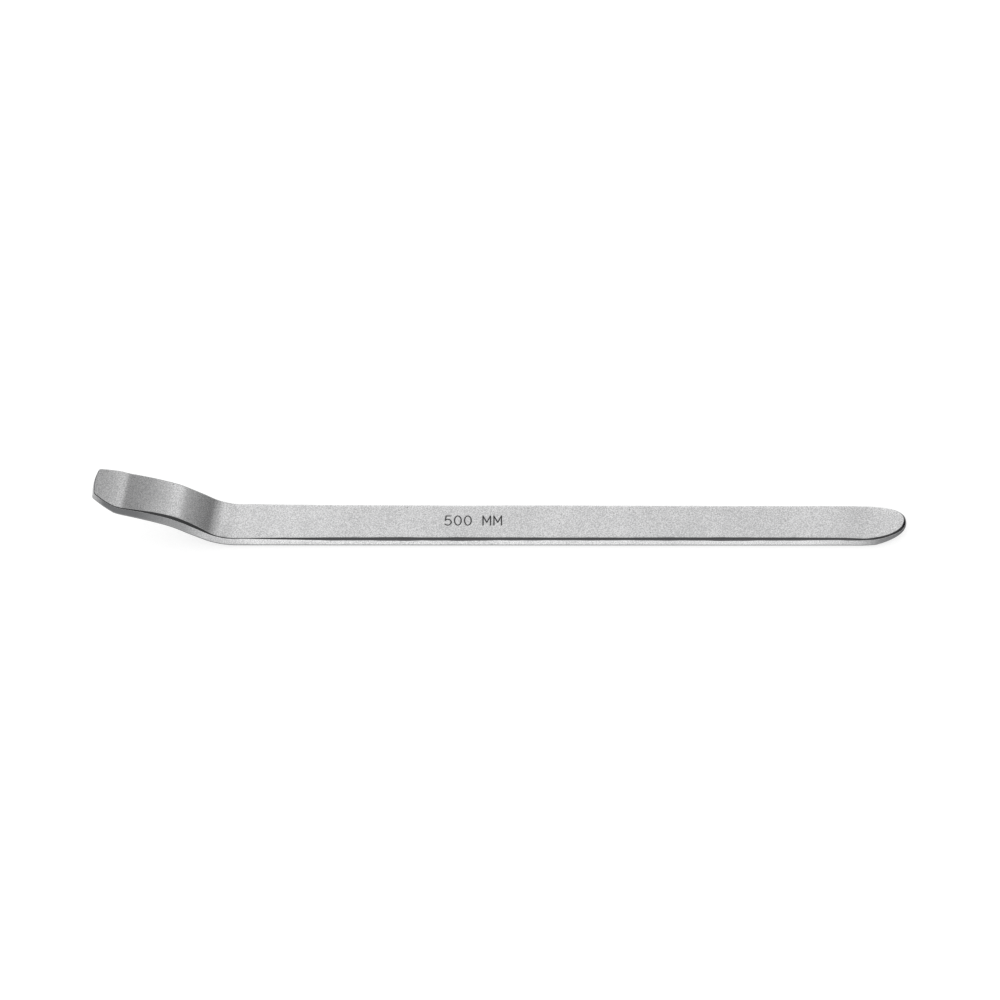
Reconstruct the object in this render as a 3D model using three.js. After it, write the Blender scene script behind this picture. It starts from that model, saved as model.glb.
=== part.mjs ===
// A tyre lever forged from one flat steel bar. One end is bent up into a spoon that hooks under a
// tyre's bead, and the other end is a plain, thin, rounded point. Nothing is fitted to the bar.
//
// The lever lies on the flat underside of its shaft. +X runs along the bar to the plain point, +Y runs
// across it and +Z is up. The origin is on the surface that it lies on, under the middle of its length.
//
// The bar is first described as a straight blank: a distance along its top face from the spoon's end, an
// offset to one side, and a depth below the top face. Every vertex of the blank is then bent into place.
import * as THREE from 'three';

// Driving dimensions, in millimetres and degrees.
const LENGTH = 500;
const SPOON_WIDTH = 29;
const NECK_WIDTH = 26.8;
const POINT_WIDTH = 25.3;
const SHAFT_THICKNESS = 7.6;
const EDGE_RADIUS = 1.2;

// The bends of the top face, from the neck, where the straight shaft ends, out to the spoon's end.
// Each run has its length and the angle that it turns through: up is positive, and 0 is a straight run.
const SPOON_RUNS = [
  { length: 16.5, turn: 44 },
  { length: 16, turn: -7 },
  { length: 13, turn: -15 },
  { length: 12, turn: -5 },
  { length: 12.4, turn: -3 },
  { length: 5, turn: 14.5 },
  { length: 17.1, turn: 12 },
];
const SPOON_LENGTH = SPOON_RUNS.reduce((sum, run) => sum + run.length, 0);

// The spoon is thinner at its end than the shaft is, with a swell behind its hollow for strength.
const SPOON_END_THICKNESS = 5;
const THINNING_START = 25;
const SWELL = 1.6;
const SWELL_CENTRE = 46;
const SWELL_HALF_LENGTH = 43;

// The side walls are nearly upright on the shaft. On the spoon their upper part leans in, as the
// forging dies leave it. The lean builds up over a stretch behind the neck.
const SHAFT_LEAN = 1;
const SPOON_LEAN = 20;
const LOWER_LEAN = 1;
const LEAN_START = 2;
const LEAN_LENGTH = 26;

// Seen from above, the spoon's last stretch narrows to a slightly bowed end edge with rounded corners.
// The end face slopes back under the edge: END_UNDERCUT is how far for each millimetre of depth.
const BLADE_LENGTH = 16.5;
const END_EDGE_HALF = 7.5;
const END_EDGE_BOW = 0.8;
const CORNER_RADIUS = 3.4;
const CORNER_TURN = 70;
const BLADE_SIDE_CONTROL = { along: 11.5, half: 14 };
const END_UNDERCUT = 0.36;

// The plain point is rounded when seen from above, slightly hollow on top and bevelled underneath.
const POINT_LENGTH = 28;
const POINT_SHARPNESS = 2.3;
const HOLLOW_DEPTH = 0.7;
const HOLLOW_LENGTH = 21;
const POINT_RISE = 0.9;
const BEVEL_LENGTH = 17.5;
const BEVEL_HEIGHT = 4.2;

// How finely the curves are cut into flats.
const STATION_SPACING = 2.5;
const OUTLINE_STEPS = 6;
const POINT_STEPS = 14;
const EDGE_STEPS = 3;
const WALL_STEPS = 2;

const { clamp, degToRad, lerp, smoothstep } = THREE.MathUtils;

// The point that lies this far from the neck along the top face of the spoon, as it would be with the
// neck at x = 0, z = 0 and the spoon towards -X. The slope is in radians and rises towards the spoon.
function spoonPoint(fromNeck) {
  let x = 0;
  let z = 0;
  let slope = 0;
  let left = fromNeck;
  for (const run of SPOON_RUNS) {
    const length = Math.min(left, run.length);
    const curvature = degToRad(run.turn) / run.length;
    const nextSlope = slope + curvature * length;
    if (curvature === 0) {
      x -= length * Math.cos(slope);
      z += length * Math.sin(slope);
    } else {
      x -= (Math.sin(nextSlope) - Math.sin(slope)) / curvature;
      z += (Math.cos(slope) - Math.cos(nextSlope)) / curvature;
    }
    slope = nextSlope;
    left -= length;
  }
  return { x, z, slope };
}

function spoonThickness(fromNeck) {
  const thinningShare = Math.max(0, fromNeck - THINNING_START) / (SPOON_LENGTH - THINNING_START);
  const swellPhase = clamp((fromNeck - SWELL_CENTRE) / SWELL_HALF_LENGTH, -1, 1);
  const swell = SWELL * Math.cos((swellPhase * Math.PI) / 2) ** 2;
  return SHAFT_THICKNESS - (SHAFT_THICKNESS - SPOON_END_THICKNESS) * thinningShare + swell;
}

function leanShare(fromNeck) {
  return smoothstep(fromNeck, LEAN_START, LEAN_START + LEAN_LENGTH);
}

// The side of the bar in section, from the rim of the top face round to the rim of the underside: the
// upper edge, a bowed wall and the lower edge. Each step is an inset from the widest outline and a depth
// below the top face. The direction that the surface faces turns from 0, up, to 180 degrees, down.
function sideProfile(thickness, fromNeck) {
  const wallStart = degToRad(90 - lerp(SHAFT_LEAN, SPOON_LEAN, leanShare(fromNeck)));
  const wallEnd = degToRad(90 + LOWER_LEAN);
  const wallRise = Math.cos(wallStart) - Math.cos(wallEnd);
  const wallRadius = (thickness - EDGE_RADIUS * (2 - wallRise)) / wallRise;
  const arcs = [
    { radius: EDGE_RADIUS, from: 0, to: wallStart, steps: EDGE_STEPS },
    { radius: wallRadius, from: wallStart, to: wallEnd, steps: WALL_STEPS },
    { radius: EDGE_RADIUS, from: wallEnd, to: Math.PI, steps: EDGE_STEPS },
  ];
  const widest = EDGE_RADIUS * Math.sin(wallStart) + wallRadius * (1 - Math.sin(wallStart));
  const profile = [{ inset: widest, depth: 0 }];
  for (const arc of arcs) {
    const start = profile[profile.length - 1];
    for (let step = 1; step <= arc.steps; step += 1) {
      const facing = lerp(arc.from, arc.to, step / arc.steps);
      const inset = start.inset - arc.radius * (Math.sin(facing) - Math.sin(arc.from));
      const depth = start.depth + arc.radius * (Math.cos(arc.from) - Math.cos(facing));
      profile.push({ inset, depth });
    }
  }
  return profile;
}

// How far the spoon reaches out from the neck. Its end face leans, so a lower step of it may reach further.
function spoonReach() {
  const steps = sideProfile(spoonThickness(SPOON_LENGTH), SPOON_LENGTH);
  const reaches = steps.map(({ inset, depth }) => {
    const point = spoonPoint(SPOON_LENGTH - inset - depth * END_UNDERCUT);
    return depth * Math.sin(point.slope) - point.x;
  });
  return Math.max(...reaches);
}

const NECK_X = spoonReach() - LENGTH / 2;
const BLANK_LENGTH = SPOON_LENGTH + LENGTH / 2 - NECK_X;

// The top face near the plain point: it dips into the hollow and rises a little towards the end.
function pointDip(fromEnd) {
  const intoHollow = smoothstep(-fromEnd, -2 * HOLLOW_LENGTH, -HOLLOW_LENGTH);
  const outOfHollow = smoothstep(-fromEnd, -HOLLOW_LENGTH, 0);
  return HOLLOW_DEPTH * intoHollow - POINT_RISE * outOfHollow;
}

// The top face at a distance along the blank from the spoon's end: its place, and the slope that depths
// are square to.
function topFace(along) {
  if (along < SPOON_LENGTH) {
    const point = spoonPoint(SPOON_LENGTH - along);
    return { x: NECK_X + point.x, z: SHAFT_THICKNESS + point.z, slope: point.slope };
  }
  const fromEnd = BLANK_LENGTH - along;
  return { x: LENGTH / 2 - fromEnd, z: SHAFT_THICKNESS - pointDip(fromEnd), slope: 0 };
}

function thicknessAt(along) {
  const fromEnd = BLANK_LENGTH - along;
  const bevel = BEVEL_HEIGHT * Math.max(0, 1 - fromEnd / BEVEL_LENGTH);
  return spoonThickness(SPOON_LENGTH - along) - bevel - pointDip(fromEnd);
}

// Half the width of the bar, behind the blade and before the plain point is rounded off.
function barHalfWidth(along) {
  const fromNeck = SPOON_LENGTH - along;
  const shaftShare = clamp(-fromNeck / (BLANK_LENGTH - SPOON_LENGTH), 0, 1);
  const shaftWidth = lerp(NECK_WIDTH, POINT_WIDTH, shaftShare);
  return lerp(shaftWidth, SPOON_WIDTH, leanShare(fromNeck)) / 2;
}

// One side of the blank's outline seen from above, as points of distance along and half width, from the
// middle of the spoon's end edge to the tip of the plain point. It has a point wherever the bar changes.
function makeSide() {
  const blade = new THREE.Path();
  const cornerEnd = Math.PI - degToRad(CORNER_TURN);
  blade.moveTo(0, 0);
  blade.quadraticCurveTo(0, END_EDGE_HALF / 2, END_EDGE_BOW, END_EDGE_HALF);
  blade.absarc(END_EDGE_BOW + CORNER_RADIUS, END_EDGE_HALF, CORNER_RADIUS, Math.PI, cornerEnd, true);
  blade.quadraticCurveTo(
    BLADE_SIDE_CONTROL.along,
    BLADE_SIDE_CONTROL.half,
    BLADE_LENGTH,
    barHalfWidth(BLADE_LENGTH),
  );
  const side = blade.getPoints(OUTLINE_STEPS);

  const addBar = (along) => side.push(new THREE.Vector2(along, barHalfWidth(along)));
  const spoonSteps = Math.ceil((SPOON_LENGTH - BLADE_LENGTH) / STATION_SPACING);
  for (let i = 1; i <= spoonSteps; i += 1) {
    addBar(lerp(BLADE_LENGTH, SPOON_LENGTH, i / spoonSteps));
  }
  for (let fromEnd = 2 * HOLLOW_LENGTH; fromEnd > POINT_LENGTH; fromEnd -= STATION_SPACING) {
    addBar(BLANK_LENGTH - fromEnd);
  }

  // The rounded point is a superellipse, with its steps closest together at the tip.
  for (let i = 0; i <= POINT_STEPS; i += 1) {
    const alongShare = Math.sin((i / POINT_STEPS) * (Math.PI / 2));
    const along = BLANK_LENGTH - POINT_LENGTH * (1 - alongShare);
    const halfShare = (1 - alongShare ** POINT_SHARPNESS) ** (1 / POINT_SHARPNESS);
    side.push(new THREE.Vector2(along, barHalfWidth(along) * halfShare));
  }
  return side;
}

// The whole outline as one closed loop: along the +Y side, then back along the -Y side. Each point has
// its outward direction, so that the loop can be drawn in for the edges and walls.
function makeOutline(side) {
  const otherSide = side.slice(1, -1).reverse().map((point) => new THREE.Vector2(point.x, -point.y));
  const loop = [...side, ...otherSide];
  return loop.map((point, i) => {
    const before = loop[(i + loop.length - 1) % loop.length];
    const after = loop[(i + 1) % loop.length];
    const outward = new THREE.Vector2(before.y - after.y, after.x - before.x).normalize();
    return { point, outward };
  });
}

// Bends a point of the blank into its place on the lever.
function bend(along, across, depth) {
  const top = topFace(along);
  const x = top.x - depth * Math.sin(top.slope);
  const z = top.z - depth * Math.cos(top.slope);
  return new THREE.Vector3(x, across, z);
}

// Loops of vertices from the rim of the top face, round the side of the bar, to the rim of the underside.
function makeLoops(outline) {
  const columns = outline.map(({ point, outward }) => {
    const profile = sideProfile(thicknessAt(point.x), SPOON_LENGTH - point.x);
    const undercut = END_UNDERCUT * Math.max(0, -outward.x);
    return profile.map(({ inset, depth }) => {
      const drawnIn = point.clone().addScaledVector(outward, -inset - depth * undercut);
      return bend(drawnIn.x, drawnIn.y, depth);
    });
  });
  return columns[0].map((_, level) => columns.map((column) => column[level]));
}

function makeLeverGeometry() {
  const side = makeSide();
  const loops = makeLoops(makeOutline(side));
  const loopSize = loops[0].length;
  const positions = loops.flat().flatMap((vertex) => vertex.toArray());
  const triangles = [];

  // Edges and side walls.
  for (let level = 0; level < loops.length - 1; level += 1) {
    const upper = level * loopSize;
    const lower = upper + loopSize;
    for (let i = 0; i < loopSize; i += 1) {
      const next = (i + 1) % loopSize;
      triangles.push(upper + i, upper + next, lower + next);
      triangles.push(upper + i, lower + next, lower + i);
    }
  }

  // The top face and the underside are strips from the +Y rim to the -Y rim. Each ends in a triangle.
  const underside = (loops.length - 1) * loopSize;
  const opposite = (station) => (loopSize - station) % loopSize;
  for (let station = 0; station < side.length - 1; station += 1) {
    const corners = [station, opposite(station), opposite(station + 1), station + 1];
    const distinct = corners.filter((corner, i) => corners.indexOf(corner) === i);
    for (let i = 1; i < distinct.length - 1; i += 1) {
      triangles.push(distinct[0], distinct[i], distinct[i + 1]);
      triangles.push(underside + distinct[0], underside + distinct[i + 1], underside + distinct[i]);
    }
  }

  const geometry = new THREE.BufferGeometry();
  geometry.setAttribute('position', new THREE.Float32BufferAttribute(positions, 3));
  geometry.setIndex(triangles);
  geometry.computeVertexNormals();
  return geometry;
}

const steel = new THREE.MeshStandardMaterial({ color: 0xc8cacb, roughness: 0.34, metalness: 1 });

const leverForging = new THREE.Mesh(makeLeverGeometry(), steel);
leverForging.name = 'lever_forging';

const tyreLever = new THREE.Group();
tyreLever.name = 'tyre_lever';
tyreLever.add(leverForging);

export default tyreLever;
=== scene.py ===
"""A tyre lever, finished: its steel surface in fine detail, on a pale floor in soft studio light.

The surface is made as the forging is: a straight blank, described by a distance along its top face, an
offset across it and a depth below it, is bent into place. Shapes are worked out in millimetres, in the CAD
frame, and the mesh is scaled to metres at the end.
"""

import math

import bpy
import numpy as np
from mathutils import Matrix, Vector


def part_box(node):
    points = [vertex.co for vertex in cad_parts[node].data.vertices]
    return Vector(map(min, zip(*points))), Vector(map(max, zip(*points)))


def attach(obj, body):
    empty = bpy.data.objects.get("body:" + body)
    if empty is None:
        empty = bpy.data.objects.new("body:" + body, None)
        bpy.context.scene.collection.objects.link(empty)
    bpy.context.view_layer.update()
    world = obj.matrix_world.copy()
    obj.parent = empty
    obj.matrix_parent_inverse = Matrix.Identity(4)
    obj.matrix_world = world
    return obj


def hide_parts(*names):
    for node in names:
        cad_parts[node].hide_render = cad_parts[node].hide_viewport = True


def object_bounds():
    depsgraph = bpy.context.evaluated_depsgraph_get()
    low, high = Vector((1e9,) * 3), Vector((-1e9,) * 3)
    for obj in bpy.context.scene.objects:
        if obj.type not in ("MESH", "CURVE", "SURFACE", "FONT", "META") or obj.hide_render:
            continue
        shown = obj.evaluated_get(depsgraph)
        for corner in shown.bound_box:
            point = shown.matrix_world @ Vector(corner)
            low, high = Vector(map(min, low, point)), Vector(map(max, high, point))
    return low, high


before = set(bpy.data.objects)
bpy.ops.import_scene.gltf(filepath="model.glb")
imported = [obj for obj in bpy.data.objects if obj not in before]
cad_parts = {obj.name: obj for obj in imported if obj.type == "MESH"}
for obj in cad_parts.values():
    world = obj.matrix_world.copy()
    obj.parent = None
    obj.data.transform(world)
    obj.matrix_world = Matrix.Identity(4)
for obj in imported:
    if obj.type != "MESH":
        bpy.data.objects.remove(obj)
CAD_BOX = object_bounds()
NODE = "lever_forging"

MM = 0.001

# The forging, in millimetres and degrees. Its length and greatest width come from the CAD box.
NODE_LOW, NODE_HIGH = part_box(NODE)
LENGTH = (NODE_HIGH.x - NODE_LOW.x) / MM
SPOON_WIDTH = (NODE_HIGH.y - NODE_LOW.y) / MM
NECK_WIDTH = 26.8
POINT_WIDTH = 25.3
SHAFT_THICKNESS = 7.6

# Bends of the top face from the neck out to the spoon's end: a length, and the angle turned through. Each
# is eased into the next over a short stretch.
SPOON_RUNS = [(16.5, 44), (16, -7), (13, -15), (12, -5), (12.4, -3), (5, 14.5), (17.1, 12)]
SPOON_LENGTH = sum(length for length, _ in SPOON_RUNS)
BEND_EASING = 1.4

# The spoon is thinner at its end than the shaft is, with a swell behind its hollow for strength.
SPOON_END_THICKNESS = 5
THINNING_START = 25
SWELL = 1.6
SWELL_CENTRE = 46
SWELL_HALF_LENGTH = 43

# The side walls are nearly upright on the shaft. On the spoon their upper part leans in, as the forging
# dies leave it. The lean builds up over a stretch behind the neck.
SHAFT_LEAN = 1
SPOON_LEAN = 20
LOWER_LEAN = 1
LEAN_START = 2
LEAN_LENGTH = 26

# The upper edge is dressed by hand, so it isn't one even rounding: it turns in to a narrow flat facet, then
# out of it on to the side. Each row of FACET is a distance from the neck, which is negative on the shaft,
# and the facet's slope and width there.
EDGE_TURN_IN = 0.6
EDGE_TURN_OUT = 0.55
LOWER_EDGE_RADIUS = 1.0
FACET = [
    (-430, 50, 4.8),
    (-422, 50, 4.0),
    (-410, 55, 1.6),
    (-396, 62, 0.9),
    (-385, 66, 1.4),
    (-320, 66, 1.9),
    (-190, 66, 1.5),
    (-150, 66, 2.0),
    (-104, 66, 2.0),
    (-60, 66, 1.6),
    (-30, 60, 0.8),
    (-8, 50, 0.1),
    (10, 46, 0.3),
    (18, 46, 0.9),
    (28, 45, 1.5),
    (42, 45, 1.5),
    (52, 45, 1.1),
    (60, 46, 0.7),
    (72, 48, 0.55),
    (88, 50, 0.7),
]

# The facet's width also wavers by a share of itself, as a sum of sines: their paces, heights and phases.
# The bar's two sides are shifted apart along the sines, so that they differ.
WAVER = 0.16
WAVER_PACE = 0.09
WAVER_SIDE_SHIFT = 2
WAVER_SINES = [(1.7, 1.0, 0), (4.3, 0.6, 1), (0.6, 0.5, 0)]

# The edge is painted dark: painted shade that stands in for the dark a polished edge reflects. On the way
# round the edge the painted shade sets in between these shares of the facet's slope, and it fades out between
# the facet and the side.
EDGE_SHADE_START = 0.4
EDGE_SHADE_FULL = 0.75

# The sides are painted darker, a painted shade that is deepest where the spoon rises off the floor and at the
# plain end, as shares at distances from the neck and from the plain end. The underside gets painted shade all
# over, and the tip's sides more of it.
SIDE_SHADE_FROM_NECK = [(-14, 0.1), (15, 0.44), (30, 0.74), (44, 0.82), (62, 1.0), (82, 1.0), (91, 0.5)]
SIDE_SHADE_FROM_END = [(0, 1.0), (14, 0.87), (28, 0.35), (52, 0.1)]
TIP_EDGE_SHADE = [(0, 0.8), (5, 0.0)]
UNDER_SHADE = 0.55

# The spoon's end, seen from above: a bowed edge, rounded corners and curved sides out to the full width.
# Its edge leans back under the top face by a share of the depth.
BLADE_LENGTH = 16.5
END_EDGE_HALF = 7.5
END_EDGE_BOW = 0.8
CORNER_RADIUS = 3.4
CORNER_TURN = 70
BLADE_SIDE_CONTROL = (11.5, 14)
END_UNDERCUT = 0.36

# The plain end: rounded like a superellipse, dished a little on top and bevelled below. The faces' grids have
# their corners on it where it faces so many degrees off the bar's own direction.
POINT_LENGTH = 28
POINT_SHARPNESS = 2.3
TIP_CORNER_FACING = 52
HOLLOW_DEPTH = 0.7
HOLLOW_LENGTH = 21
POINT_RISE = 0.9
BEVEL_LENGTH = 17.5
BEVEL_HEIGHT = 4.2

# The ground faces are never quite flat: long shallow waves, and shoulders that roll over to the edges.
WAVES = 14
WAVE_SLOPE = 0.003
WAVE_LENGTHS = (18, 90)
WAVE_LEAST_SHARE = 0.4
WAVE_HEADING_SPREAD = 0.35
SHOULDER_WIDTH = 1.8
SHOULDER_DROP = 0.05

# The size stamped into the top face. The letters' widths and gaps are shares of their height.
MARK_TEXT = "500 MM"
MARK_HEIGHT = 7
MARK_CENTRE = (-18, 0.6)
MARK_LEAN = -0.17
MARK_STROKE = 0.95
MARK_FLOOR_SHARE = 0.5
MARK_DEPTH = 0.28
LETTER_WIDTHS = {"5": 0.6, "0": 0.64, "M": 0.72, " ": 0.5}
LETTER_GAP = 0.26

# How finely the surface is cut: steps of each stretch of the edge and the outline, and spacings of the
# faces' rows and columns. The spoon's close rows go on for a margin past the neck, and the rows follow the
# outlines of the two ends for a way in from each.
EDGE_STEPS = 6
FACET_STEPS = 2
WALL_STEPS = 7
END_STEPS = 60
BAR_STEPS = 900
POINT_STEPS = 160
PATH_STEP = 0.05
EASING_SAMPLES = 15
SPOON_SPACING = 0.7
SPOON_ROWS_MARGIN = 4
SHAFT_SPACING = 2.4
POINT_SPACING = 0.8
MARK_SPACING = 0.19
FACE_SPACING = 1.1
SPOON_END_FADE = 12
TIP_FADE = 14

RANDOM = np.random.default_rng(7)


def clamp(value, low, high):
    return np.minimum(np.maximum(value, low), high)


def smoothstep(value, low, high):
    share = clamp((value - low) / (high - low), 0.0, 1.0)
    return share * share * (3 - 2 * share)


def running_sum(values, step):
    """The integral of evenly spaced values, starting from zero."""
    middles = (values[1:] + values[:-1]) / 2
    return np.concatenate([[0.0], np.cumsum(middles) * step])


class Blank:
    """The straight blank, and how it is bent. Distances along it start at the spoon's end."""

    def __init__(self):
        self.make_path()
        self.neck_x = self.reach() - LENGTH / 2
        self.length = SPOON_LENGTH + LENGTH / 2 - self.neck_x
        self.make_side()
        self.make_waves()

    def make_path(self):
        """The top face of the spoon from just short of the neck, with its bends eased into each other."""
        lengths, turns = zip(*SPOON_RUNS)
        knots = np.cumsum([0, *lengths])
        turned = np.cumsum([0, *np.radians(turns)])
        self.path = np.arange(-BEND_EASING, SPOON_LENGTH + PATH_STEP, PATH_STEP)
        window = np.linspace(-BEND_EASING, BEND_EASING, EASING_SAMPLES)
        self.slopes = np.mean([np.interp(self.path + offset, knots, turned) for offset in window], axis=0)
        self.path_x = BEND_EASING - running_sum(np.cos(self.slopes), PATH_STEP)
        self.path_z = running_sum(np.sin(self.slopes), PATH_STEP)

    def spoon_point(self, from_neck):
        """Where the spoon's top face is, from the neck, and its slope."""
        x = np.interp(from_neck, self.path, self.path_x)
        z = np.interp(from_neck, self.path, self.path_z)
        return x, z, np.interp(from_neck, self.path, self.slopes)

    def reach(self):
        """How far the spoon reaches out from the neck. A lower step of its leaning end may reach further."""
        inset, depth, _ = side_profile(self.spoon_thickness(SPOON_LENGTH), SPOON_LENGTH)
        x, _, slope = self.spoon_point(SPOON_LENGTH - inset - depth * END_UNDERCUT)
        return np.max(depth * np.sin(slope) - x)

    @staticmethod
    def spoon_thickness(from_neck):
        thinning = np.maximum(0, from_neck - THINNING_START) / (SPOON_LENGTH - THINNING_START)
        phase = clamp((from_neck - SWELL_CENTRE) / SWELL_HALF_LENGTH, -1, 1)
        swell = SWELL * np.cos(phase * math.pi / 2) ** 2
        return SHAFT_THICKNESS - (SHAFT_THICKNESS - SPOON_END_THICKNESS) * thinning + swell

    @staticmethod
    def point_dip(from_end):
        """How far the top face lies below the shaft's: down into the hollow, then up towards the end."""
        into_hollow = smoothstep(-from_end, -2 * HOLLOW_LENGTH, -HOLLOW_LENGTH)
        out_of_hollow = smoothstep(-from_end, -HOLLOW_LENGTH, 0)
        return HOLLOW_DEPTH * into_hollow - POINT_RISE * out_of_hollow

    def thickness(self, along):
        from_end = self.length - along
        bevel = BEVEL_HEIGHT * np.maximum(0, 1 - from_end / BEVEL_LENGTH)
        return self.spoon_thickness(SPOON_LENGTH - along) - bevel - self.point_dip(from_end)

    def bar_half_width(self, along):
        from_neck = SPOON_LENGTH - along
        shaft_share = clamp(-from_neck / (self.length - SPOON_LENGTH), 0, 1)
        shaft_width = NECK_WIDTH + (POINT_WIDTH - NECK_WIDTH) * shaft_share
        return (shaft_width + (SPOON_WIDTH - shaft_width) * lean_share(from_neck)) / 2

    def make_side(self):
        """The +Y side of the outline seen from above, finely stepped, with its outward direction."""
        t = np.linspace(0, 1, END_STEPS)[1:]
        edge = [END_EDGE_BOW * t**2, END_EDGE_HALF * t]
        turn = np.radians(CORNER_TURN) * t
        corner = [
            END_EDGE_BOW + CORNER_RADIUS * (1 - np.cos(turn)),
            END_EDGE_HALF + CORNER_RADIUS * np.sin(turn),
        ]
        blade_end = (BLADE_LENGTH, self.bar_half_width(BLADE_LENGTH))
        corner_end = (corner[0][-1], corner[1][-1])
        blade = [
            (1 - t) ** 2 * start + 2 * t * (1 - t) * control + t**2 * end
            for start, control, end in zip(corner_end, BLADE_SIDE_CONTROL, blade_end)
        ]
        bar = np.linspace(BLADE_LENGTH, self.length - POINT_LENGTH, BAR_STEPS)[1:]
        share = np.sin(np.linspace(0, math.pi / 2, POINT_STEPS))[1:]
        point = self.length - POINT_LENGTH * (1 - share)
        narrowing = (1 - share**POINT_SHARPNESS) ** (1 / POINT_SHARPNESS)
        x = np.concatenate([[0], edge[0], corner[0], blade[0], bar, point])
        bar_half = self.bar_half_width(bar)
        point_half = self.bar_half_width(point) * narrowing
        y = np.concatenate([[0], edge[1], corner[1], blade[1], bar_half, point_half])
        self.side = np.stack([x, y], axis=1)
        steps = np.linalg.norm(np.diff(self.side, axis=0), axis=1)
        self.side_distance = np.concatenate([[0], np.cumsum(steps)])
        mirrored = self.side[[1, -2]] * (1, -1)
        around = np.vstack([mirrored[:1], self.side, mirrored[1:]])
        tangent = around[2:] - around[:-2]
        outward = np.stack([-tangent[:, 1], tangent[:, 0]], axis=1)
        self.side_outward = outward / np.linalg.norm(outward, axis=1)[:, None]

    def on_side(self, distance):
        """Points of the +Y side, and their outward directions, by distance round from the spoon's middle."""
        point = [np.interp(distance, self.side_distance, self.side[:, k]) for k in (0, 1)]
        outward = [np.interp(distance, self.side_distance, self.side_outward[:, k]) for k in (0, 1)]
        outward = np.stack(outward, axis=1)
        return np.stack(point, axis=1), outward / np.linalg.norm(outward, axis=1)[:, None]

    def side_corners(self):
        """The grid's corners, as distances round the +Y side: in the middle of the spoon's rounded corner,
        and on the rounded plain end."""
        facing = np.degrees(np.arctan2(self.side_outward[:, 1], np.abs(self.side_outward[:, 0])))
        spoon_corner = self.side_distance[np.argmax(facing > CORNER_TURN / 2)]
        rounded = self.side[:, 0] > self.length - POINT_LENGTH
        tip_corner = self.side_distance[rounded & (facing < TIP_CORNER_FACING)][0]
        return spoon_corner, tip_corner

    def make_waves(self):
        """Long shallow waves, each with its own length, heading and phase."""
        lengths = np.geomspace(*WAVE_LENGTHS, WAVES)
        headings = RANDOM.normal(0, WAVE_HEADING_SPREAD, WAVES)
        shares = RANDOM.uniform(WAVE_LEAST_SHARE, 1, WAVES)
        self.wave_heights = WAVE_SLOPE * lengths / (2 * math.pi) * shares
        self.wave_numbers = 2 * math.pi / lengths[:, None] * np.stack([np.cos(headings), np.sin(headings)], 1)
        self.wave_phases = RANDOM.uniform(0, 2 * math.pi, WAVES)

    def waves(self, along, across):
        total = np.zeros(np.broadcast(along, across).shape)
        for height, (a, b), phase in zip(self.wave_heights, self.wave_numbers, self.wave_phases):
            total += height * (1 + np.sin(a * along + b * across + phase)) / 2
        return total

    def bend(self, along, across, depth):
        """Bends points of the blank into place."""
        from_neck = SPOON_LENGTH - along
        spoon_x, spoon_z, slope = self.spoon_point(from_neck)
        on_spoon = from_neck > -BEND_EASING
        slope = np.where(on_spoon, slope, 0)
        x = self.neck_x + np.where(on_spoon, spoon_x, -from_neck)
        z = SHAFT_THICKNESS + np.where(on_spoon, spoon_z, -self.point_dip(self.length - along))
        return np.stack([x - depth * np.sin(slope), across, z - depth * np.cos(slope)], axis=-1)


def lean_share(from_neck):
    return smoothstep(from_neck, LEAN_START, LEAN_START + LEAN_LENGTH)


def facet_waver(along, side):
    """What the facet's width is multiplied by along one side of the bar, which is 1 or -1."""
    place = along * WAVER_PACE + WAVER_SIDE_SHIFT * side
    wave = sum(height * np.sin(place * pace + phase) for pace, height, phase in WAVER_SINES)
    return 1 + WAVER * wave / sum(height for _, height, _ in WAVER_SINES)


def side_profile(thickness, from_neck, waver=1.0):
    """The side in section, from the rim of the top face to the rim of the underside: insets, depths, and how
    much painted shade each gets on the edge. It is a chain of arcs and one facet, each turning the way that
    the surface faces from up, 0, to down, 180 degrees."""
    lean = SHAFT_LEAN + (SPOON_LEAN - SHAFT_LEAN) * lean_share(from_neck)
    wall_start = np.radians(90 - lean)
    wall_end = np.radians(90 + LOWER_LEAN)
    places, slopes, widths = zip(*FACET)
    facet = np.radians(np.interp(from_neck, places, slopes))
    scale = thickness / SHAFT_THICKNESS
    facet_width = np.interp(from_neck, places, widths) * waver * scale
    turn_in, turn_out, lower = (radius * scale for radius in (EDGE_TURN_IN, EDGE_TURN_OUT, LOWER_EDGE_RADIUS))
    depths = turn_in * (1 - np.cos(facet)) + facet_width * np.sin(facet)
    depths += turn_out * (np.cos(facet) - np.cos(wall_start)) + lower * (1 + np.cos(wall_end))
    wall_radius = (thickness - depths) / (np.cos(wall_start) - np.cos(wall_end))
    arcs = [
        (turn_in, 0, facet, EDGE_STEPS),
        (None, facet, facet, FACET_STEPS),
        (turn_out, facet, wall_start, EDGE_STEPS),
        (wall_radius, wall_start, wall_end, WALL_STEPS),
        (lower, wall_end, math.pi, EDGE_STEPS),
    ]
    reach = [np.zeros_like(thickness * from_neck * 1.0)]
    depth = [np.zeros_like(reach[0])]
    edge_shade = [np.zeros_like(reach[0])]
    for radius, start, end, steps in arcs:
        first_reach = reach[-1]
        first_depth = depth[-1]
        for step in range(1, steps + 1):
            share = step / steps
            facing = start + (end - start) * share
            # How much painted shade the edge gets at this facing: it stands in for a dark reflection.
            setting_in = smoothstep(facing, facet * EDGE_SHADE_START, facet * EDGE_SHADE_FULL)
            edge_shade.append(setting_in * (1 - smoothstep(facing, facet, wall_start)))
            if radius is None:
                reach.append(first_reach + facet_width * share * np.cos(start))
                depth.append(first_depth + facet_width * share * np.sin(start))
            else:
                reach.append(first_reach + radius * (np.sin(facing) - np.sin(start)))
                depth.append(first_depth + radius * (np.cos(start) - np.cos(facing)))
    widest = reach[2 * EDGE_STEPS + FACET_STEPS] + wall_radius * (1 - np.sin(wall_start))
    return widest - np.array(reach), np.array(depth), np.array(edge_shade)


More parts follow.
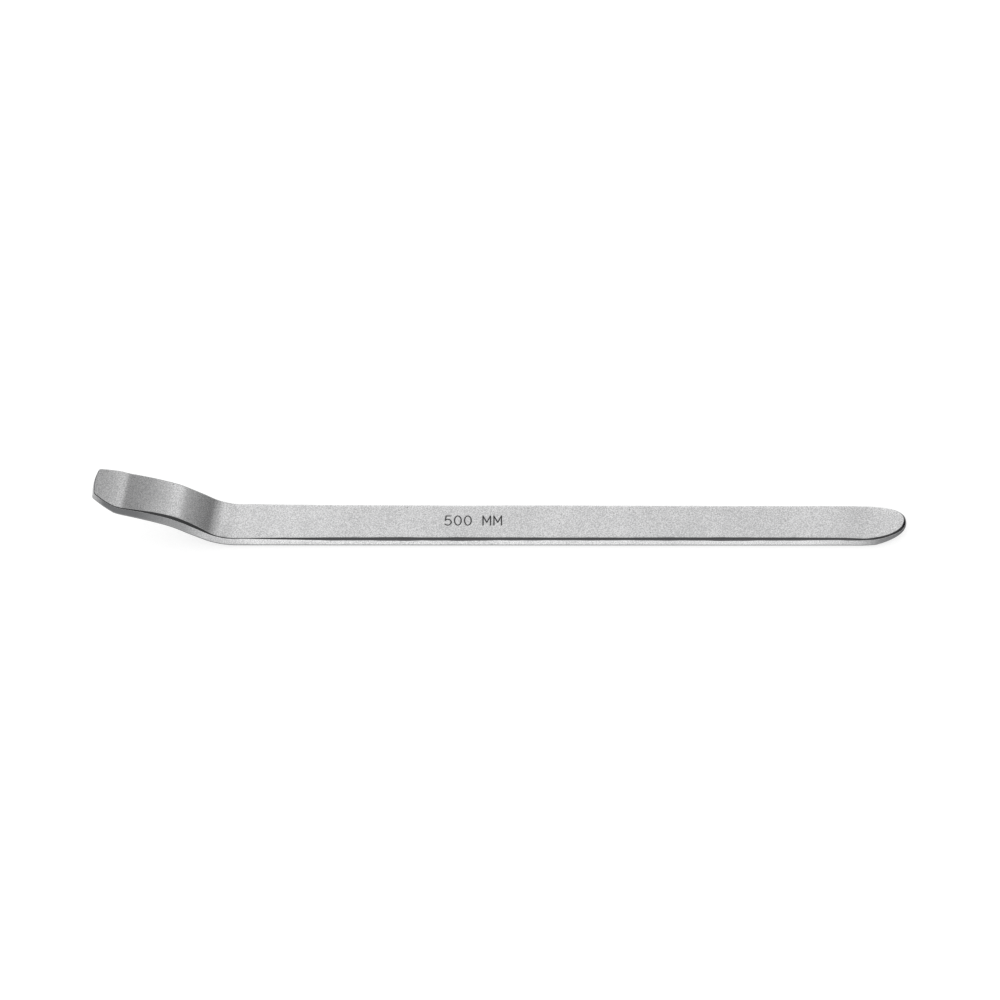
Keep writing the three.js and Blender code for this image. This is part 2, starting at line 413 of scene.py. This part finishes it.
def letter_strokes(letter):
    """A letter as polylines in a cell one unit high. The rounded ones are made of arcs."""
    if letter == "5":
        turn = np.radians(np.linspace(125, -140, 22))
        bowl = np.stack([0.27 + 0.31 * np.cos(turn), 0.32 + 0.32 * np.sin(turn)], axis=1)
        return [np.array([(0.56, 1.0), (0.12, 1.0), (0.06, 0.5), *bowl])]
    if letter == "0":
        turn = np.linspace(0, 2 * math.pi, 33)
        return [np.stack([0.32 + 0.3 * np.cos(turn), 0.5 + 0.5 * np.sin(turn)], axis=1)]
    if letter == "M":
        return [np.array([(0.02, 0), (0.02, 1), (0.36, 0.3), (0.7, 1), (0.7, 0)])]
    return []


def mark_lines():
    """The stamped mark's strokes as line segments on the top face, in millimetres."""
    widths = [LETTER_WIDTHS[letter] + LETTER_GAP for letter in MARK_TEXT]
    left = MARK_CENTRE[0] - MARK_HEIGHT * (sum(widths) - LETTER_GAP) / 2
    lines = []
    for letter, width in zip(MARK_TEXT, widths):
        for stroke in letter_strokes(letter):
            points = stroke * MARK_HEIGHT + (left, MARK_CENTRE[1] - MARK_HEIGHT / 2)
            points[:, 0] += MARK_LEAN * (points[:, 1] - MARK_CENTRE[1])
            lines += list(zip(points[:-1], points[1:]))
        left += width * MARK_HEIGHT
    return lines


def distance_to_mark(x, y):
    """How far each point is from the nearest stroke of the mark."""
    nearest = np.full(x.shape, LENGTH)
    for start, end in mark_lines():
        run = end - start
        share = clamp(((x - start[0]) * run[0] + (y - start[1]) * run[1]) / (run @ run), 0, 1)
        gap = np.hypot(x - start[0] - share * run[0], y - start[1] - share * run[1])
        nearest = np.minimum(nearest, gap)
    return nearest


def mark_depth(distance):
    """A stamped groove: flat in the middle, with sloping sides."""
    half_stroke = MARK_STROKE / 2
    return MARK_DEPTH * (1 - smoothstep(distance, half_stroke * MARK_FLOOR_SHARE, half_stroke))


def mark_box():
    """The lowest and highest x and y of the mark, with a margin."""
    points = np.array([point for line in mark_lines() for point in line])
    return points.min(0) - MARK_STROKE, points.max(0) + MARK_STROKE


def spaced(start, end, spacing):
    """Values from start up to, but not including, end, no further apart than the spacing."""
    count = max(1, math.ceil((end - start) / spacing))
    return np.linspace(start, end, count + 1)[:-1]


def face_columns(half_width):
    """Places across the face as shares of its half width, closest together over the mark."""
    low, high = mark_box()
    across = np.concatenate([
        spaced(-half_width, low[1], FACE_SPACING),
        spaced(low[1], high[1], MARK_SPACING),
        spaced(high[1], half_width, FACE_SPACING),
        [half_width],
    ])
    return across / half_width


def face_rows(blank, first, last):
    """Distances along the blank for the rows of the surface, closest together over the mark."""
    low, high = mark_box()
    shaft_offset = blank.length - LENGTH / 2
    mark_start = low[0] + shaft_offset
    mark_end = high[0] + shaft_offset
    shaft_start = SPOON_LENGTH + SPOON_ROWS_MARGIN
    point_start = blank.length - 2 * HOLLOW_LENGTH
    return np.concatenate([
        spaced(first, shaft_start, SPOON_SPACING),
        spaced(shaft_start, mark_start, SHAFT_SPACING),
        spaced(mark_start, mark_end, MARK_SPACING),
        spaced(mark_end, point_start, SHAFT_SPACING),
        spaced(point_start, last, POINT_SPACING),
        [last],
    ])


def face_border(blank, along, shares, corners, ends):
    """The outline as the border of a grid of rows and columns: the spoon's end, the +Y side, the plain end
    and the -Y side. Returns its points, their outward directions and their sides, 1 or -1."""
    row_distance = np.interp(along, blank.side[:, 0], blank.side_distance)[1:-1]
    near_end = blank.side_distance <= corners[0]
    near_tip = blank.side_distance >= corners[1]
    end_half = ends[0][1] * np.abs(shares)
    tip_half = ends[1][1] * np.abs(shares)
    end_distance = np.interp(end_half, blank.side[near_end, 1], blank.side_distance[near_end])
    tip_distance = np.interp(-tip_half, -blank.side[near_tip, 1], blank.side_distance[near_tip])
    end_sides = np.where(shares < 0, -1, 1)
    row_sides = np.ones(len(row_distance))
    side = np.concatenate([end_sides, row_sides, end_sides[::-1], -row_sides])
    distance = np.concatenate([end_distance, row_distance, tip_distance[::-1], row_distance[::-1]])
    point, outward = blank.on_side(distance)
    point[:, 1] *= side
    outward[:, 1] *= side
    return point, outward, side


def face_grid(rim, rows, shares):
    """A face as a grid between its rim's ends and sides. Returns distances along and offsets across."""
    columns = len(shares)
    end = rim[:columns]
    side = rim[columns:columns + rows - 2]
    tip = rim[columns + rows - 2:][:columns][::-1]
    side = np.vstack([end[-1], side, tip[-1]])
    straight = np.stack([
        np.repeat(side[:, :1], columns, axis=1),
        side[:, 1:] * shares,
    ], axis=-1)
    from_end = side[:, 0] - side[0, 0]
    from_tip = side[-1, 0] - side[:, 0]
    end_fade = np.maximum(0, 1 - from_end / SPOON_END_FADE)[:, None, None] ** 2
    tip_fade = np.maximum(0, 1 - from_tip / TIP_FADE)[:, None, None] ** 2
    grid = straight + end_fade * (end - straight[0]) + tip_fade * (tip - straight[-1])
    return grid[..., 0], grid[..., 1]


def make_surface(blank):
    """The whole surface as vertices, faces and named shares for the material."""
    corners = blank.side_corners()
    ends, _ = blank.on_side(np.array(corners))
    shares = face_columns(POINT_WIDTH / 2)
    along = face_rows(blank, ends[0][0], ends[1][0])
    point, outward, side = face_border(blank, along, shares, corners, ends)

    # Rings round the side, from the rim of the top face to the rim of the underside.
    thickness = blank.thickness(point[:, 0])
    waver = facet_waver(point[:, 0], side)
    inset, depth, edge_shade = side_profile(thickness, SPOON_LENGTH - point[:, 0], waver)
    drawn_in = inset + depth * END_UNDERCUT * np.maximum(0, -outward[:, 0])
    ring_along = point[:, 0] - drawn_in * outward[:, 0]
    ring_across = point[:, 1] - drawn_in * outward[:, 1]
    sinking = blank.waves(ring_along, ring_across) + SHOULDER_DROP
    ring_depth = depth + sinking * (1 - depth / thickness)
    rings = blank.bend(ring_along, ring_across, ring_depth)

    # The two faces are grids between the rims.
    rim_places = np.stack([ring_along, ring_across], axis=-1)
    top_along, top_across = face_grid(rim_places[0], len(along), shares)
    rim_gap = np.minimum(
        np.abs(top_across[:, -1:]) - np.abs(top_across),
        np.minimum(top_along - top_along[0], top_along[-1] - top_along),
    )
    shoulder = SHOULDER_DROP * np.maximum(0, 1 - rim_gap / SHOULDER_WIDTH) ** 2
    shaft_x = top_along - blank.length + LENGTH / 2
    stamped = mark_depth(distance_to_mark(shaft_x, top_across))
    top_depth = blank.waves(top_along, top_across) + shoulder + stamped
    top = blank.bend(top_along, top_across, top_depth)
    under_along, under_across = face_grid(rim_places[-1], len(along), shares)
    under = blank.bend(under_along, under_across, blank.thickness(under_along))

    vertices, faces = weld(rings, top, under)
    return vertices, faces, material_shares(point[:, 0], stamped, edge_shade)


def weld(rings, top, under):
    """Joins the rings and the two face grids into one closed mesh."""
    rows, columns, _ = top.shape
    levels, border, _ = rings.shape
    index = np.arange(levels * border).reshape(levels, border)
    ahead = np.roll(index, -1, axis=1)
    vertices = [rings.reshape(-1, 3)]
    faces = [np.stack([index[:-1], ahead[:-1], ahead[1:], index[1:]], axis=-1).reshape(-1, 4)]
    for grid, level, upright in ((top, 0, True), (under, levels - 1, False)):
        ids = np.zeros((rows, columns), int)
        start = sum(len(block) for block in vertices)
        ids[1:-1, 1:-1] = start + np.arange((rows - 2) * (columns - 2)).reshape(rows - 2, columns - 2)
        loop = index[level]
        ids[0, :] = loop[:columns]
        ids[1:-1, -1] = loop[columns:columns + rows - 2]
        ids[-1, :] = loop[columns + rows - 2:2 * columns + rows - 2][::-1]
        ids[1:-1, 0] = loop[2 * columns + rows - 2:][::-1]
        vertices.append(grid[1:-1, 1:-1].reshape(-1, 3))
        quads = np.stack([ids[:-1, :-1], ids[1:, :-1], ids[1:, 1:], ids[:-1, 1:]], axis=-1).reshape(-1, 4)
        faces.append(quads if upright else quads[:, ::-1])
    return np.vstack(vertices), np.vstack(faces)


def material_shares(border_along, stamped, edge_shade):
    """How much of each look every vertex has: painted shade on the edges and the tip, the stamped mark, and
    painted shade on the sides and the underside.
    The vertices come in weld's order: the rings, then the inside of the top face and of the underside."""
    wall = slice(2 * EDGE_STEPS + FACET_STEPS, -EDGE_STEPS - 1)
    from_end = border_along.max() - border_along
    # Painted shade on the sides and the underside.
    side_shade = np.zeros_like(edge_shade)
    side_shade[wall] = np.maximum(
        np.interp(SPOON_LENGTH - border_along, *zip(*SIDE_SHADE_FROM_NECK)),
        np.interp(from_end, *zip(*SIDE_SHADE_FROM_END)),
    )
    side_shade[-1] = UNDER_SHADE
    # The edge share is painted shade: on the upper facet, on the tip's sides, and over the whole lower
    # rounding, where the gap under the bar lies in shade.
    edge = edge_shade.copy()
    edge[wall] += np.interp(from_end, *zip(*TIP_EDGE_SHADE))
    edge[-EDGE_STEPS - 1:-1] = 1
    mark = stamped[1:-1, 1:-1].ravel() / MARK_DEPTH
    clear = np.zeros(len(mark))
    return {
        "edge": np.concatenate([clamp(edge, 0, 1).ravel(), clear, clear]),
        "mark": np.concatenate([np.zeros(edge_shade.size), mark, clear]),
        "side_shade": np.concatenate([side_shade.ravel(), clear, clear + UNDER_SHADE]),
    }


def make_lever():
    """The finished forging as one closed mesh."""
    vertices, faces, shares = make_surface(Blank())
    # Steps finer than the CAD's reach a hair further, so the surface is kept inside the CAD's box.
    vertices = clamp(vertices, np.array(NODE_LOW) / MM, np.array(NODE_HIGH) / MM)
    mesh = bpy.data.meshes.new("tyre_lever_surface")
    mesh.from_pydata((vertices * MM).tolist(), [], faces.tolist())
    for name, values in shares.items():
        attribute = mesh.attributes.new(name, "FLOAT", "POINT")
        attribute.data.foreach_set("value", values.astype(np.float32))
    mesh.shade_smooth()
    mesh.validate()
    lever = bpy.data.objects.new("tyre_lever_surface", mesh)
    bpy.context.scene.collection.objects.link(lever)
    return lever


class Nodes:
    """Short calls for building a node tree."""

    def __init__(self, tree):
        self.tree = tree
        tree.nodes.clear()

    def add(self, kind, inputs=None, **settings):
        node = self.tree.nodes.new(kind)
        for name, value in settings.items():
            setattr(node, name, value)
        for key, value in (inputs or {}).items():
            self.set(node.inputs[key], value)
        return node

    def set(self, socket, value):
        if isinstance(value, bpy.types.NodeSocket):
            self.tree.links.new(value, socket)
        else:
            socket.default_value = value

    def math(self, operation, *values):
        node = self.add("ShaderNodeMath", operation=operation)
        for socket, value in zip(node.inputs, values):
            self.set(socket, value)
        return node.outputs[0]

    def weighted(self, total, *terms):
        """Adds values to a total, each times its weight."""
        for value, weight in terms:
            total = self.math("ADD", total, self.math("MULTIPLY", value, weight))
        return total

    def noise(self, vector, scale, detail, roughness):
        inputs = {"Vector": vector, "Scale": scale, "Detail": detail, "Roughness": roughness}
        return self.add("ShaderNodeTexNoise", inputs).outputs["Fac"]

    def stretch(self, vector, scale):
        return self.add("ShaderNodeMapping", {"Vector": vector, "Scale": scale}).outputs["Vector"]

    def remap(self, value, low, high, new_low, new_high):
        inputs = {0: value, 1: low, 2: high, 3: new_low, 4: new_high}
        return self.add("ShaderNodeMapRange", inputs).outputs[0]

    def share(self, name):
        return self.add("ShaderNodeAttribute", attribute_name=name).outputs["Fac"]

    def mix(self, factor, first, second):
        node = self.add("ShaderNodeMix", data_type="RGBA")
        for key, value in ((0, factor), (6, first), (7, second)):
            self.set(node.inputs[key], value)
        return node.outputs[2]

    def ramp(self, value, stops):
        """Grey levels that ease from stop to stop."""
        node = self.add("ShaderNodeValToRGB", {"Fac": value})
        ramp = node.color_ramp
        ramp.interpolation = "EASE"
        while len(ramp.elements) < len(stops):
            ramp.elements.new(0.5)
        for element, (place, level) in zip(ramp.elements, stops):
            element.position = place
            element.color = (level, level, level, 1)
        return node.outputs["Color"]


# The steel's colours: its ground faces between bright and dull, painted shade for the sides and the
# underside, painted shade for the edges, and the dark of pits and the painted shade in the stamped mark's
# grooves.
BRIGHT = (0.97, 0.97, 0.974, 1)
DULL = (0.60, 0.602, 0.608, 1)
SIDE_SHADE_COLOUR = (0.15, 0.152, 0.156, 1)
PAINTED_EDGE_SHADE = (0.085, 0.085, 0.088, 1)
DARK = (0.04, 0.04, 0.042, 1)

# Noises over the steel: features per metre, octaves of detail and roughness. The grinding lines are a noise
# drawn out across the bar, with their own features per metre along X, Y and Z.
CLOUDS = (45, 3, 0.55)
SPECKLE = (1250, 2, 0.75)
FINE_GRAIN = (3200, 1, 0.5)
GRINDING = (1, 2, 0.6)
GRINDING_STRETCH = (2600, 160, 600)
PIT_SCALE = 110
PIT_RADII = (0.03, 0.055)

# How the noises and shares add up to tone, roughness and height.
CLOUDS_IN_TONE = 0.15
SPECKLE_IN_TONE = 0.85
TONE_RANGE = (0.39, 0.61)
PIT_IN_COLOUR = 0.7
CLOUDS_RANGE = (0.35, 0.65)
ROUGHNESS_RANGE = (0.26, 0.21)
EDGE_ROUGHNESS = -0.05
MARK_ROUGHNESS = 0.2
SIDE_SHADE_ROUGHNESS = 0.04
SPECKLE_IN_HEIGHT = 0.6
FINE_GRAIN_IN_HEIGHT = 0.25
GRINDING_IN_HEIGHT = 0.35
BUMP_STRENGTH = 0.5
BUMP_DISTANCE = 0.00002


def steel_material():
    """Plated steel: faint clouds, fine grain and a few pits on its ground faces; painted shade on sides,
    edges and marks.
    """
    material = bpy.data.materials.new("plated_steel")
    material.use_nodes = True
    nodes = Nodes(material.node_tree)
    place = nodes.add("ShaderNodeTexCoord").outputs["Object"]
    edge = nodes.share("edge")
    mark = nodes.share("mark")
    side_shade = nodes.share("side_shade")

    clouds = nodes.noise(place, *CLOUDS)
    speckle = nodes.noise(place, *SPECKLE)
    fine_grain = nodes.noise(place, *FINE_GRAIN)
    grinding = nodes.noise(nodes.stretch(place, GRINDING_STRETCH), *GRINDING)
    pit_cells = nodes.add("ShaderNodeTexVoronoi", {"Vector": place, "Scale": PIT_SCALE, "Randomness": 1.0})
    pit = nodes.remap(pit_cells.outputs["Distance"], *PIT_RADII, 1.0, 0.0)

    tone = nodes.weighted(nodes.math("MULTIPLY", clouds, CLOUDS_IN_TONE), (speckle, SPECKLE_IN_TONE))
    colour = nodes.mix(nodes.remap(tone, *TONE_RANGE, 1.0, 0.0), BRIGHT, DULL)
    # Painted shade on the sides and the underside.
    colour = nodes.mix(side_shade, colour, SIDE_SHADE_COLOUR)
    # Painted shade on the edges and the tip.
    colour = nodes.mix(edge, colour, PAINTED_EDGE_SHADE)
    colour = nodes.mix(nodes.math("MULTIPLY", pit, PIT_IN_COLOUR), colour, DARK)
    # The stamped grooves are painted dark by their depth: painted shade on top of the grooves' own shading.
    colour = nodes.mix(mark, colour, DARK)

    roughness = nodes.weighted(
        nodes.remap(clouds, *CLOUDS_RANGE, *ROUGHNESS_RANGE),
        (edge, EDGE_ROUGHNESS),
        (mark, MARK_ROUGHNESS),
        (side_shade, SIDE_SHADE_ROUGHNESS),
    )
    height = nodes.weighted(
        nodes.math("MULTIPLY", speckle, SPECKLE_IN_HEIGHT),
        (fine_grain, FINE_GRAIN_IN_HEIGHT),
        (grinding, GRINDING_IN_HEIGHT),
    )
    height = nodes.math("SUBTRACT", height, pit)
    bump = nodes.add("ShaderNodeBump", {
        "Strength": BUMP_STRENGTH,
        "Distance": BUMP_DISTANCE,
        "Height": height,
    })
    shader = nodes.add("ShaderNodeBsdfPrincipled", {
        "Base Color": colour,
        "Metallic": 1.0,
        "Roughness": roughness,
        "Normal": bump.outputs["Normal"],
    })
    output = nodes.add("ShaderNodeOutputMaterial")
    nodes.set(output.inputs["Surface"], shader.outputs["BSDF"])
    return material


# The floor lies just under the lever. It glows a little, which keeps it white.
FLOOR_SIZE = 9
FLOOR_GAP = 0.00005
FLOOR_TONE = 0.45
FLOOR_GLOW = 0.66


def make_sheet(name, width, height):
    """A flat sheet, level and centred on its own origin."""
    x, y = width / 2, height / 2
    mesh = bpy.data.meshes.new(name)
    mesh.from_pydata([(-x, -y, 0), (x, -y, 0), (x, y, 0), (-x, y, 0)], [], [(0, 1, 2, 3)])
    sheet = bpy.data.objects.new(name, mesh)
    bpy.context.scene.collection.objects.link(sheet)
    return sheet


def paper_material():
    material = bpy.data.materials.new("pale_paper")
    material.use_nodes = True
    nodes = Nodes(material.node_tree)
    shader = nodes.add("ShaderNodeBsdfPrincipled", {
        "Base Color": (FLOOR_TONE, FLOOR_TONE, FLOOR_TONE, 1),
        "Roughness": 1.0,
        "Specular IOR Level": 0.0,
        "Emission Color": (1, 1, 1, 1),
        "Emission Strength": FLOOR_GLOW,
    })
    output = nodes.add("ShaderNodeOutputMaterial")
    nodes.set(output.inputs["Surface"], shader.outputs["BSDF"])
    return material


def make_floor():
    """A large pale floor under the lever."""
    floor = make_sheet("studio_floor", FLOOR_SIZE, FLOOR_SIZE)
    floor.location.z = CAD_BOX[0].z - FLOOR_GAP
    floor.data.materials.append(paper_material())


# Strips of light over the lever that run from front to back, which the steel reflects: their levels from
# the left horizon, 0, by straight overhead, 0.5, to the right horizon, 1.
STRIPS = [
    (0.00, 0.05),
    (0.09, 0.05),
    (0.17, 0.56),
    (0.33, 0.54),
    (0.40, 0.465),
    (0.485, 0.43),
    (0.53, 0.105),
    (0.55, 0.105),
    (0.572, 0.25),
    (0.60, 0.39),
    (0.66, 0.41),
    (0.70, 0.39),
    (0.73, 0.31),
    (0.79, 0.26),
    (0.85, 0.125),
    (0.89, 0.12),
    (0.93, 0.03),
    (1.00, 0.03),
]
STRIP_LIGHT = 2.4

# Their levels from the front, 0, by straight overhead, 0.5, to the back, 1: brightest low down behind the
# lever, and dark at the very horizon there.
DEPTHS = [
    (0.00, 0.60),
    (0.43, 0.60),
    (0.62, 0.64),
    (0.83, 0.66),
    (0.89, 1.0),
    (0.95, 1.0),
    (0.99, 0.15),
]

# In front of the lever a share of the strips gives way to an even light. The change comes between these
# values of the direction's Y.
EVEN_FROM = 0.35
EVEN_FULL = -0.1
EVEN_SHARE = 0.55
EVEN_LIGHT = 0.24


def make_studio():
    """The light round the lever: the strips for the steel to reflect, and an even white light that the
    floor and the camera get."""
    world = bpy.data.worlds.new("studio")
    bpy.context.scene.world = world
    world.use_nodes = True
    nodes = Nodes(world.node_tree)
    direction = nodes.add("ShaderNodeTexCoord").outputs["Generated"]
    parts = nodes.add("ShaderNodeSeparateXYZ", {"Vector": direction}).outputs
    across = nodes.math("ARCTAN2", parts["X"], parts["Z"])
    strips = nodes.ramp(nodes.remap(across, -math.pi / 2, math.pi / 2, 0.0, 1.0), STRIPS)
    depth = nodes.ramp(nodes.remap(parts["Y"], -1.0, 1.0, 0.0, 1.0), DEPTHS)

    even = nodes.remap(parts["Y"], EVEN_FULL, EVEN_FROM, 1.0, 0.0)
    kept = nodes.math("SUBTRACT", 1.0, nodes.math("MULTIPLY", even, EVEN_SHARE))
    strips = nodes.weighted(nodes.math("MULTIPLY", strips, kept), (even, EVEN_LIGHT))
    strips = nodes.math("MULTIPLY", strips, STRIP_LIGHT)
    reflected = nodes.math("MULTIPLY", strips, depth)

    path = nodes.add("ShaderNodeLightPath").outputs
    white = nodes.math("MAXIMUM", path["Is Camera Ray"], path["Is Diffuse Ray"])
    strength = nodes.add("ShaderNodeMix", data_type="FLOAT")
    for key, value in ((0, white), (2, reflected), (3, 1.0)):
        nodes.set(strength.inputs[key], value)
    background = nodes.add("ShaderNodeBackground", {"Color": (1, 1, 1, 1), "Strength": strength.outputs[0]})
    output = nodes.add("ShaderNodeOutputWorld")
    nodes.set(output.inputs["Surface"], background.outputs["Background"])


# A small softbox that the neck reflects, in millimetres. It shows in reflections only.
NECK_CARD_CENTRE = (-152, 61, 90)
NECK_CARD_SIZE = (42, 50)
NECK_CARD_LIGHT = 0.80


def softbox_material():
    material = bpy.data.materials.new("neck_softbox")
    material.use_nodes = True
    nodes = Nodes(material.node_tree)
    light = nodes.add("ShaderNodeEmission", {"Color": (1, 1, 1, 1), "Strength": NECK_CARD_LIGHT})
    output = nodes.add("ShaderNodeOutputMaterial")
    nodes.set(output.inputs["Surface"], light.outputs["Emission"])
    return material


def make_neck_card():
    card = make_sheet("neck_softbox", NECK_CARD_SIZE[0] * MM, NECK_CARD_SIZE[1] * MM)
    card.location = Vector(NECK_CARD_CENTRE) * MM
    card.visible_camera = False
    card.visible_diffuse = False
    card.visible_shadow = False
    card.data.materials.append(softbox_material())


# The camera: the way it looks and its roll in degrees, its lens in millimetres, and in metres how wide a
# view it has at the lever, what point it looks at and how near and far it sees.
CAMERA_AZIMUTH = 24.2
CAMERA_ELEVATION = 50.0
CAMERA_ROLL = 18.97
CAMERA_LENS = 300
CAMERA_SENSOR = 36
VIEW_WIDTH = 0.6051
AIM_HEIGHT = 0.010
AIM_RIGHT = -0.0005
AIM_UP = 0.01135
NEAREST = 0.1
FURTHEST = 50


def make_camera():
    azimuth = math.radians(CAMERA_AZIMUTH)
    elevation = math.radians(CAMERA_ELEVATION)
    roll = math.radians(CAMERA_ROLL)
    level = Vector((math.cos(azimuth), math.sin(azimuth), 0))
    back = Vector((
        math.sin(azimuth) * math.cos(elevation),
        -math.cos(azimuth) * math.cos(elevation),
        math.sin(elevation),
    ))
    upward = back.cross(level)
    right = math.cos(roll) * level - math.sin(roll) * upward
    up = math.sin(roll) * level + math.cos(roll) * upward
    aim = Vector((0, 0, CAD_BOX[0].z + AIM_HEIGHT)) + AIM_RIGHT * right + AIM_UP * up
    data = bpy.data.cameras.new("camera")
    data.lens = CAMERA_LENS
    data.sensor_width = CAMERA_SENSOR
    data.clip_start = NEAREST
    data.clip_end = FURTHEST
    camera = bpy.data.objects.new("camera", data)
    distance = VIEW_WIDTH * CAMERA_LENS / CAMERA_SENSOR
    turned = Matrix((right, up, back)).transposed().to_4x4()
    camera.matrix_world = Matrix.Translation(aim + back * distance) @ turned
    bpy.context.scene.collection.objects.link(camera)
    bpy.context.scene.camera = camera


scene = bpy.context.scene
scene.view_settings.view_transform = "Standard"
make_camera()
make_studio()
make_floor()
make_neck_card()

lever = make_lever()
lever.data.materials.append(steel_material())
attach(lever, "root")
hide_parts(NODE)
